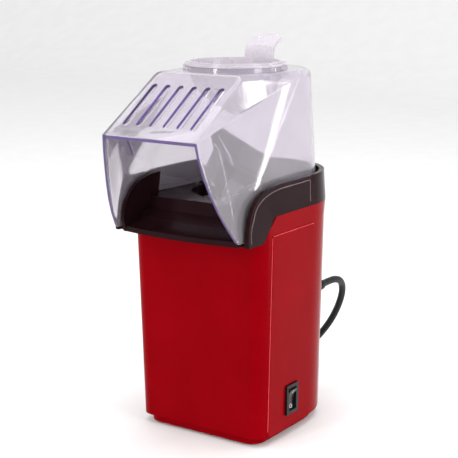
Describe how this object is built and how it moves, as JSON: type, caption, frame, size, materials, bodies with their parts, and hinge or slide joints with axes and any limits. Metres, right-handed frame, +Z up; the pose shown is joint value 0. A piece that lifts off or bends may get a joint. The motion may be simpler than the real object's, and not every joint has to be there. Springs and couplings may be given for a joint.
{
  "type": "popcorn maker",
  "caption": "Counter-top hot-air popcorn maker: red casing, brown chute and collar, clear slotted hood, measuring cup, rocker switch, blower, heater and mains lead.",
  "frame": {"origin": "middle of the footprint without the mains lead, on the surface that the feet stand on", "axes": "+Z up, -Y is the front with the chute, X = 0 is the middle plane"},
  "size_m": [0.2058, 0.2875, 0.3147],
  "materials": {
    "red_plastic": "gloss red ABS",
    "brown_plastic": "gloss dark brown",
    "clear_plastic": "clear polycarbonate with a lilac tint",
    "black_plastic": "satin black",
    "black_rubber": "matt black PVC and rubber",
    "aluminium": "drawn aluminium",
    "steel": "zinc-plated steel",
    "mica": "mica board",
    "silicone": "white silicone",
    "brass": "plain brass",
    "board": "glass-epoxy board",
    "nylon": "natural nylon",
    "wire_insulation": "silicone-insulated wire"
  },
  "bodies": {
    "root": {"body_shell": "red_plastic", "base_plate": "red_plastic", "rubber_feet": "black_rubber", "base_screws": "steel", "top_collar": "brown_plastic", "chute_tray": "brown_plastic", "popping_chamber": "aluminium", "chamber_gasket": "silicone", "chamber_screws": "steel", "heater_housing": "steel", "heater_frame": "mica", "heating_coil": "steel", "dropper_coil": "steel", "thermostat": "aluminium", "thermal_fuse": "silicone", "fan_housing": "black_plastic", "motor_can": "steel", "motor_end_cap": "nylon", "motor_bearings": "brass", "motor_magnets": "steel", "motor_brushes": "brass", "motor_bracket": "steel", "motor_screws": "steel", "rectifier_board": "board", "rectifier_diodes": "black_plastic", "switch_body": "black_plastic", "switch_terminals": "brass", "live_wire": "wire_insulation", "neutral_wire": "wire_insulation", "motor_wires": "wire_insulation", "cord_clamp": "black_plastic", "clamp_screws": "steel", "strain_relief": "black_rubber", "cord_lead": "black_rubber", "cord_coil": "black_rubber", "cord_tail": "black_rubber", "coil_tie": "black_plastic", "plug_body": "black_plastic", "plug_pins": "steel"},
    "hood": {"hood": "clear_plastic"},
    "cup": {"measuring_cup": "clear_plastic"},
    "rocker": {"switch_rocker": "black_plastic"},
    "rotor": {"motor_shaft": "steel", "fan_wheel": "black_plastic", "motor_armature": "steel", "motor_commutator": "brass"}
  },
  "joints": [
    {"name": "hood_lift", "type": "slide", "parent": "root", "child": "hood", "axis": [0, 0, 1], "range_m": [0, 0.13]},
    {"name": "cup_lift", "type": "slide", "parent": "hood", "child": "cup", "axis": [0, 0, 1], "range_m": [0, 0.07]},
    {"name": "switch_rock", "type": "hinge", "parent": "root", "child": "rocker", "pos_m": [0.0588, 0.0064, 0.0306], "axis": [0, -1, 0], "range_deg": [0, 20]},
    {"name": "fan_spin", "type": "hinge", "parent": "root", "child": "rotor", "pos_m": [0, 0.03, 0.05], "axis": [0, 0, 1], "continuous": true}
  ]
}
